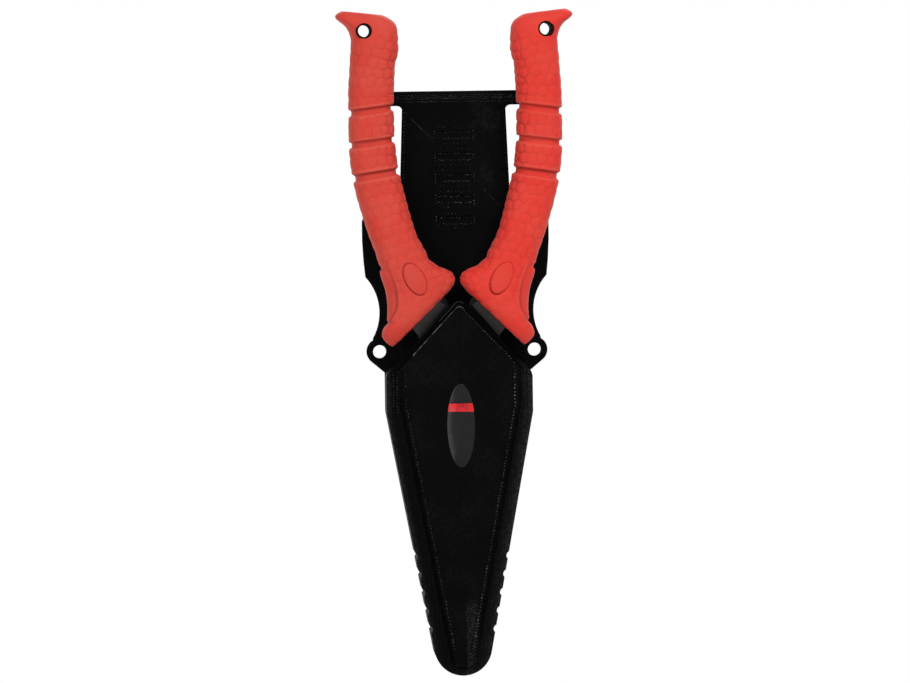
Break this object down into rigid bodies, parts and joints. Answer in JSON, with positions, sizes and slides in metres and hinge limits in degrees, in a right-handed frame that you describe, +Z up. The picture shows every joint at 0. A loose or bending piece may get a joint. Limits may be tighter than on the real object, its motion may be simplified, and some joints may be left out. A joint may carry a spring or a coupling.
{
  "type": "fishing pliers",
  "caption": "Fishing pliers with textured overmoulded grips, closed in a tapered moulded belt sheath they draw out of.",
  "frame": {"origin": "middle of the belt slot behind the sheath's neck", "axes": "+Z up along the sheath towards the handles, which is the way the pliers draw out; -Y towards the front panel; +X to the right as seen from the front"},
  "size_m": [0.0856, 0.031, 0.2392],
  "materials": {
    "sheath_plastic": "fine moulded lines",
    "grip_rubber": "matte, scaled",
    "inlay_rubber": "smooth satin",
    "coated_steel": "dark satin coating",
    "bright_steel": "turned",
    "dark_ring": "satin",
    "badge_gloss": "gloss",
    "badge_red": "gloss"
  },
  "bodies": {
    "sheath": {"sheath_back": "sheath_plastic", "sheath_front": "sheath_plastic", "belt_loop": "sheath_plastic", "belt_loop_screws": "bright_steel", "badge": "badge_gloss", "badge_band": "badge_red"},
    "pivot": {"pivot_bolt": "bright_steel", "pivot_nut": "bright_steel", "front_washer": "bright_steel", "middle_washer": "bright_steel", "back_washer": "bright_steel"},
    "left_half": {"left_lever": "coated_steel", "left_grip": "grip_rubber", "left_oval_inlays": "inlay_rubber", "left_eyelet": "dark_ring", "left_cutter": "bright_steel", "left_cutter_screws": "bright_steel"},
    "right_half": {"right_lever": "coated_steel", "right_grip": "grip_rubber", "right_oval_inlays": "inlay_rubber", "right_eyelet": "dark_ring", "right_cutter": "bright_steel", "right_cutter_screws": "bright_steel"}
  },
  "joints": [
    {"name": "draw", "type": "slide", "parent": "sheath", "child": "pivot", "axis": [0, 0, 1], "range_m": [0, 0.18]},
    {"name": "right_jaw", "type": "hinge", "parent": "pivot", "child": "right_half", "pos_m": [0, -0.0146, -0.057], "axis": [0, 1, 0], "range_deg": [0, 7.5]},
    {"name": "left_jaw", "type": "hinge", "parent": "pivot", "child": "left_half", "pos_m": [0, -0.0146, -0.057], "axis": [0, 1, 0], "range_deg": [-7.5, 0]}
  ],
  "couplings": [
    {"joint": "left_jaw", "follows": "right_jaw", "ratio": -1}
  ]
}
